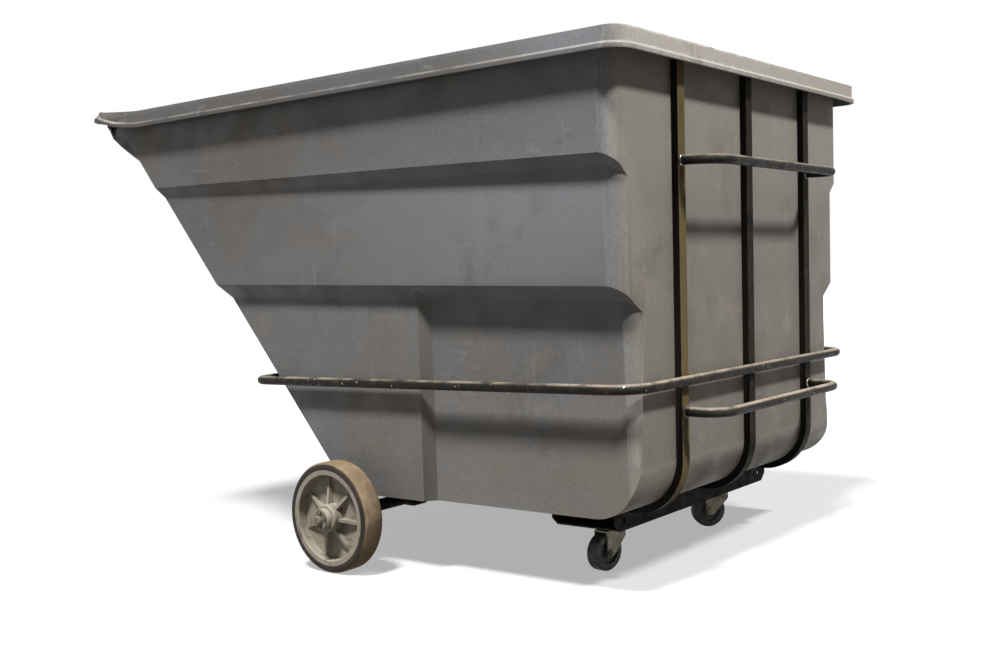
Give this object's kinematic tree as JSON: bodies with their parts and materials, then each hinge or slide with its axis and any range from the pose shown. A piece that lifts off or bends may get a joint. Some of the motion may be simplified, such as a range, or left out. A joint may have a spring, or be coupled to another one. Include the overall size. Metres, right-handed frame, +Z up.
{
  "type": "tipping skip trolley",
  "caption": "Large stepped plastic tub with a rolled rim and pouring slope on a bar frame, which rolls on an axle with ribbed wheels and swivel casters and tips forward to empty.",
  "frame": {"origin": "middle of the footprint, on the floor", "axes": "+Z up, +X towards the push handles, the pouring nose at -X, the main axle along Y"},
  "size_m": [2.2072, 1.4172, 1.3727],
  "materials": {
    "tub_plastic": "matt, scuffed and dusty",
    "frame_paint": "worn black paint",
    "plain_steel": "dull",
    "hub_plastic": "matt, dusty",
    "tyre_rubber": "matt, dusty",
    "caster_rubber": "matt",
    "caster_plastic": "matt",
    "zinc_plate": "dull zinc plating"
  },
  "bodies": {
    "chassis": {"hopper_tub": "tub_plastic", "near_strap": "frame_paint", "centre_strap": "frame_paint", "far_strap": "frame_paint", "near_axle_saddle": "frame_paint", "centre_axle_saddle": "frame_paint", "far_axle_saddle": "frame_paint", "bumper_ring": "frame_paint", "push_handle": "frame_paint", "lower_handle": "frame_paint", "caster_crossmember": "frame_paint", "floor_bolts": "plain_steel", "floor_nuts": "plain_steel", "axle": "plain_steel", "near_wheel_spacer": "frame_paint", "near_wheel_washers": "plain_steel", "near_cotter_pin": "plain_steel", "near_caster_plate": "zinc_plate", "near_caster_bolts": "plain_steel", "near_caster_nuts": "plain_steel", "near_caster_kingpin": "plain_steel", "far_wheel_spacer": "frame_paint", "far_wheel_washers": "plain_steel", "far_cotter_pin": "plain_steel", "far_caster_plate": "zinc_plate", "far_caster_bolts": "plain_steel", "far_caster_nuts": "plain_steel", "far_caster_kingpin": "plain_steel"},
    "near_wheel": {"near_wheel_hub": "hub_plastic", "near_wheel_tyre": "tyre_rubber", "near_wheel_bush": "plain_steel"},
    "near_caster": {"near_caster_fork": "zinc_plate", "near_caster_race": "zinc_plate", "near_caster_axle_bolt": "plain_steel", "near_caster_axle_nut": "plain_steel", "near_caster_sleeve": "plain_steel"},
    "near_caster_roller": {"near_caster_wheel": "caster_plastic", "near_caster_tread": "caster_rubber"},
    "far_wheel": {"far_wheel_hub": "hub_plastic", "far_wheel_tyre": "tyre_rubber", "far_wheel_bush": "plain_steel"},
    "far_caster": {"far_caster_fork": "zinc_plate", "far_caster_race": "zinc_plate", "far_caster_axle_bolt": "plain_steel", "far_caster_axle_nut": "plain_steel", "far_caster_sleeve": "plain_steel"},
    "far_caster_roller": {"far_caster_wheel": "caster_plastic", "far_caster_tread": "caster_rubber"}
  },
  "joints": [
    {"name": "near_wheel_spin", "type": "hinge", "parent": "chassis", "child": "near_wheel", "pos_m": [0.00743, -0.6388, 0.1524], "axis": [0, 1, 0], "continuous": true},
    {"name": "near_caster_swivel", "type": "hinge", "parent": "chassis", "child": "near_caster", "pos_m": [0.67933, -0.277, 0.1087], "axis": [0, 0, 1], "continuous": true},
    {"name": "near_caster_roll", "type": "hinge", "parent": "near_caster", "child": "near_caster_roller", "pos_m": [0.67567, -0.30678, 0.051], "axis": [0.9925, -0.1219, 0], "continuous": true},
    {"name": "far_wheel_spin", "type": "hinge", "parent": "chassis", "child": "far_wheel", "pos_m": [0.00743, 0.6388, 0.1524], "axis": [0, 1, 0], "continuous": true},
    {"name": "far_caster_swivel", "type": "hinge", "parent": "chassis", "child": "far_caster", "pos_m": [0.67933, 0.277, 0.1087], "axis": [0, 0, 1], "continuous": true},
    {"name": "far_caster_roll", "type": "hinge", "parent": "far_caster", "child": "far_caster_roller", "pos_m": [0.65906, 0.25488, 0.051], "axis": [0.7373, -0.6756, 0], "continuous": true}
  ]
}
